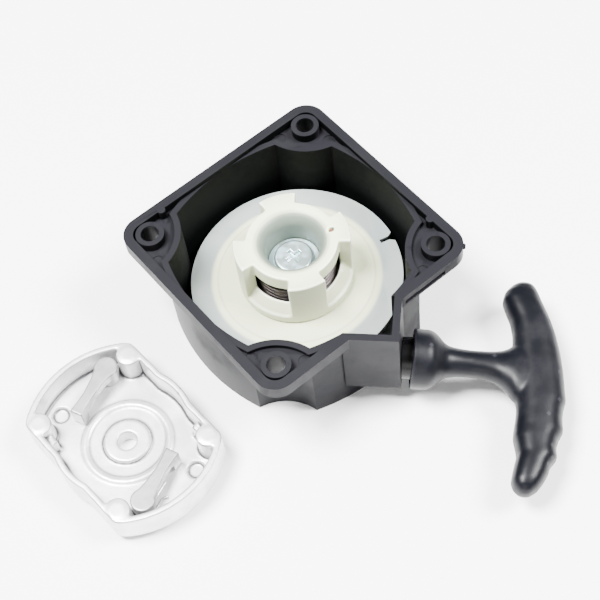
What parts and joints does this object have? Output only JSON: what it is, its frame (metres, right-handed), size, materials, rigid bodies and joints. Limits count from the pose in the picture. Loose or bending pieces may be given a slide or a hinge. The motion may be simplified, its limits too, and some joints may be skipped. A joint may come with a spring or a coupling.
{
  "type": "recoil starter",
  "caption": "Pull starter for a small engine: square-flanged drum housing with a rope reel and lugged drive cam, T handle on its rope, and a two-lobed pawl plate beside it.",
  "frame": {"origin": "on the reel's axis, at the closed back of the housing that rests on the floor", "axes": "+Z along the reel's axis towards the engine face, +X the way the rope is pulled, +Y to the side away from the rope outlet"},
  "size_m": [0.1648, 0.1402, 0.037],
  "materials": {
    "housing_plastic": "moulded, satin, faint flow marks",
    "bush_plastic": "glossy black moulding",
    "reel_plastic": "natural nylon, satin",
    "cam_plastic": "natural nylon, satin",
    "handle_plastic": "moulded, soft sheen",
    "zinc_steel": "zinc plated",
    "brass": "turned",
    "spring_steel": "dark drawn wire, oiled",
    "strip_steel": "blued strip",
    "rope_cord": "braided nylon",
    "cast_aluminium": "die cast, tumbled",
    "sintered_steel": "sintered, satin"
  },
  "bodies": {
    "starter_housing": {"housing": "housing_plastic", "post_insert": "brass", "centre_screw": "zinc_steel", "centre_washer": "zinc_steel", "thrust_washer": "reel_plastic", "rope_guide_bush": "bush_plastic", "spring_anchor_pin": "zinc_steel", "recoil_spring": "strip_steel"},
    "reel": {"reel": "reel_plastic", "rope_winding": "rope_cord", "reel_knot": "rope_cord", "assist_spring": "spring_steel"},
    "drive_cam": {"drive_cam": "cam_plastic"},
    "handle": {"handle_grip": "handle_plastic", "handle_washer": "zinc_steel", "handle_knot": "rope_cord", "rope_lead": "rope_cord"},
    "pawl_plate": {"pawl_plate": "cast_aluminium"},
    "pawl_1": {"pawl_1": "sintered_steel", "pawl_spring_1": "spring_steel", "pawl_clip_1": "spring_steel"},
    "pawl_2": {"pawl_2": "sintered_steel", "pawl_spring_2": "spring_steel", "pawl_clip_2": "spring_steel"}
  },
  "joints": [
    {"name": "reel_spin", "type": "hinge", "parent": "starter_housing", "child": "reel", "pos_m": [0, 0, 0.01], "axis": [0, 0, 1], "range_deg": [0, 1340]},
    {"name": "cam_lag", "type": "hinge", "parent": "reel", "child": "drive_cam", "pos_m": [0, 0, 0.025], "axis": [0, 0, 1], "range_deg": [-90, 0], "stiffness_Nm_per_rad": 0.3, "deforming": ["assist_spring"]},
    {"name": "handle_pull", "type": "slide", "parent": "starter_housing", "child": "handle", "axis": [1, 0, 0], "range_m": [0, 0.7], "deforming": ["rope_lead"]},
    {"name": "plate_turn", "type": "hinge", "parent": "starter_housing", "child": "pawl_plate", "pos_m": [-0.0485, -0.0565, 0.003], "axis": [0, 0, 1], "continuous": true},
    {"name": "pawl_1_swing", "type": "hinge", "parent": "pawl_plate", "child": "pawl_1", "pos_m": [-0.05792, -0.03432, 0.0118], "axis": [0, 0, -1], "range_deg": [0, 24], "stiffness_Nm_per_rad": 0.002, "deforming": ["pawl_spring_1"]},
    {"name": "pawl_2_swing", "type": "hinge", "parent": "pawl_plate", "child": "pawl_2", "pos_m": [-0.03908, -0.07868, 0.0118], "axis": [0, 0, -1], "range_deg": [0, 24], "stiffness_Nm_per_rad": 0.002, "deforming": ["pawl_spring_2"]}
  ],
  "couplings": [
    {"joint": "handle_pull", "follows": "reel_spin", "m_per_rad": 0.0298}
  ]
}
